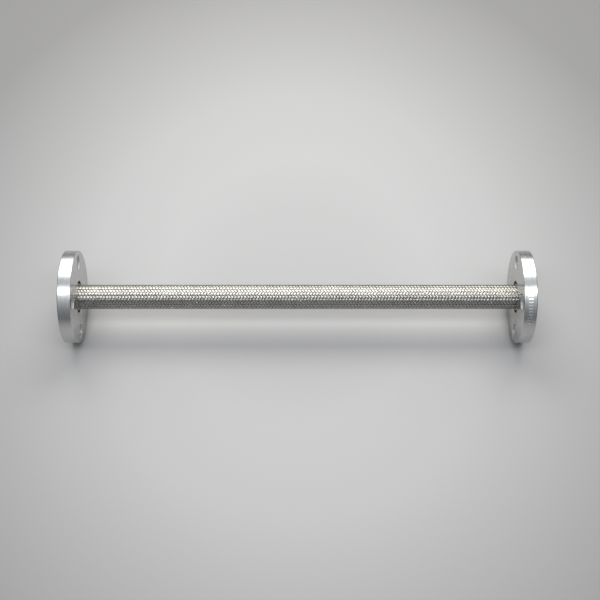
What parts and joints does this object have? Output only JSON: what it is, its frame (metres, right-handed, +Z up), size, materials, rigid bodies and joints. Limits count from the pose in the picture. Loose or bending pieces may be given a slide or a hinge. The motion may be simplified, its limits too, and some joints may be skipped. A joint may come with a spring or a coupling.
{
  "type": "braided metal bellows hose with loose flanges",
  "caption": "Flexible metal hose: a corrugated bellows inside a woven wire braid, with a loose drilled flange that turns freely on the collar at each end.",
  "frame": {"origin": "middle of the hose axis, halfway between the two gasket faces", "axes": "+X along the hose towards end B, +Z up; the flange rims stand on the floor at -Z"},
  "size_m": [0.504, 0.1, 0.1],
  "materials": {
    "plated_steel": "bright zinc plate over a turned and ground face",
    "stainless": "turned stainless steel",
    "braid_wire": "drawn stainless wire, woven",
    "bellows_sheet": "formed stainless sheet",
    "weld": "weld seam, left as laid"
  },
  "bodies": {
    "end_a": {"stub_end_a": "stainless", "ferrule_a": "stainless", "cap_weld_a": "weld", "bellows_weld_a": "weld", "bellows_01": "bellows_sheet", "braid_01": "braid_wire"},
    "hose_02": {"bellows_02": "bellows_sheet", "braid_02": "braid_wire"},
    "hose_03": {"bellows_03": "bellows_sheet", "braid_03": "braid_wire"},
    "hose_04": {"bellows_04": "bellows_sheet", "braid_04": "braid_wire"},
    "hose_05": {"bellows_05": "bellows_sheet", "braid_05": "braid_wire"},
    "hose_06": {"bellows_06": "bellows_sheet", "braid_06": "braid_wire"},
    "hose_07": {"bellows_07": "bellows_sheet", "braid_07": "braid_wire"},
    "hose_08": {"bellows_08": "bellows_sheet", "braid_08": "braid_wire"},
    "hose_09": {"bellows_09": "bellows_sheet", "braid_09": "braid_wire"},
    "hose_10": {"bellows_10": "bellows_sheet", "braid_10": "braid_wire"},
    "hose_11": {"bellows_11": "bellows_sheet", "braid_11": "braid_wire"},
    "hose_12": {"bellows_12": "bellows_sheet", "braid_12": "braid_wire"},
    "end_b": {"stub_end_b": "stainless", "ferrule_b": "stainless", "cap_weld_b": "weld", "bellows_weld_b": "weld", "bellows_13": "bellows_sheet", "braid_13": "braid_wire"},
    "flange_a": {"loose_flange_a": "plated_steel"},
    "flange_b": {"loose_flange_b": "plated_steel"}
  },
  "joints": [
    {"name": "bend_01", "type": "hinge", "parent": "end_a", "child": "hose_02", "pos_m": [-0.1969, 0, 0], "axis": [0, 0, 1], "range_deg": [-7.5, 7.5], "stiffness_Nm_per_rad": 30},
    {"name": "bend_02", "type": "hinge", "parent": "hose_02", "child": "hose_03", "pos_m": [-0.1611, 0, 0], "axis": [0, 0, 1], "range_deg": [-7.5, 7.5], "stiffness_Nm_per_rad": 30},
    {"name": "bend_03", "type": "hinge", "parent": "hose_03", "child": "hose_04", "pos_m": [-0.1253, 0, 0], "axis": [0, 0, 1], "range_deg": [-7.5, 7.5], "stiffness_Nm_per_rad": 30},
    {"name": "bend_04", "type": "hinge", "parent": "hose_04", "child": "hose_05", "pos_m": [-0.0895, 0, 0], "axis": [0, 0, 1], "range_deg": [-7.5, 7.5], "stiffness_Nm_per_rad": 30},
    {"name": "bend_05", "type": "hinge", "parent": "hose_05", "child": "hose_06", "pos_m": [-0.0537, 0, 0], "axis": [0, 0, 1], "range_deg": [-7.5, 7.5], "stiffness_Nm_per_rad": 30},
    {"name": "bend_06", "type": "hinge", "parent": "hose_06", "child": "hose_07", "pos_m": [-0.0179, 0, 0], "axis": [0, 0, 1], "range_deg": [-7.5, 7.5], "stiffness_Nm_per_rad": 30},
    {"name": "bend_07", "type": "hinge", "parent": "hose_07", "child": "hose_08", "pos_m": [0.0179, 0, 0], "axis": [0, 0, 1], "range_deg": [-7.5, 7.5], "stiffness_Nm_per_rad": 30},
    {"name": "bend_08", "type": "hinge", "parent": "hose_08", "child": "hose_09", "pos_m": [0.0537, 0, 0], "axis": [0, 0, 1], "range_deg": [-7.5, 7.5], "stiffness_Nm_per_rad": 30},
    {"name": "bend_09", "type": "hinge", "parent": "hose_09", "child": "hose_10", "pos_m": [0.0895, 0, 0], "axis": [0, 0, 1], "range_deg": [-7.5, 7.5], "stiffness_Nm_per_rad": 30},
    {"name": "bend_10", "type": "hinge", "parent": "hose_10", "child": "hose_11", "pos_m": [0.1253, 0, 0], "axis": [0, 0, 1], "range_deg": [-7.5, 7.5], "stiffness_Nm_per_rad": 30},
    {"name": "bend_11", "type": "hinge", "parent": "hose_11", "child": "hose_12", "pos_m": [0.1611, 0, 0], "axis": [0, 0, 1], "range_deg": [-7.5, 7.5], "stiffness_Nm_per_rad": 30},
    {"name": "bend_12", "type": "hinge", "parent": "hose_12", "child": "end_b", "pos_m": [0.1969, 0, 0], "axis": [0, 0, 1], "range_deg": [-7.5, 7.5], "stiffness_Nm_per_rad": 30},
    {"name": "flange_a_spin", "type": "hinge", "parent": "end_a", "child": "flange_a", "pos_m": [-0.243, 0, 0], "axis": [1, 0, 0], "continuous": true},
    {"name": "flange_b_spin", "type": "hinge", "parent": "end_b", "child": "flange_b", "pos_m": [0.243, 0, 0], "axis": [1, 0, 0], "continuous": true}
  ],
  "couplings": [
    {"joint": "bend_02", "follows": "bend_01", "ratio": 1},
    {"joint": "bend_03", "follows": "bend_01", "ratio": 1},
    {"joint": "bend_04", "follows": "bend_01", "ratio": 1},
    {"joint": "bend_05", "follows": "bend_01", "ratio": 1},
    {"joint": "bend_06", "follows": "bend_01", "ratio": 1},
    {"joint": "bend_08", "follows": "bend_07", "ratio": 1},
    {"joint": "bend_09", "follows": "bend_07", "ratio": 1},
    {"joint": "bend_10", "follows": "bend_07", "ratio": 1},
    {"joint": "bend_11", "follows": "bend_07", "ratio": 1},
    {"joint": "bend_12", "follows": "bend_07", "ratio": 1}
  ]
}
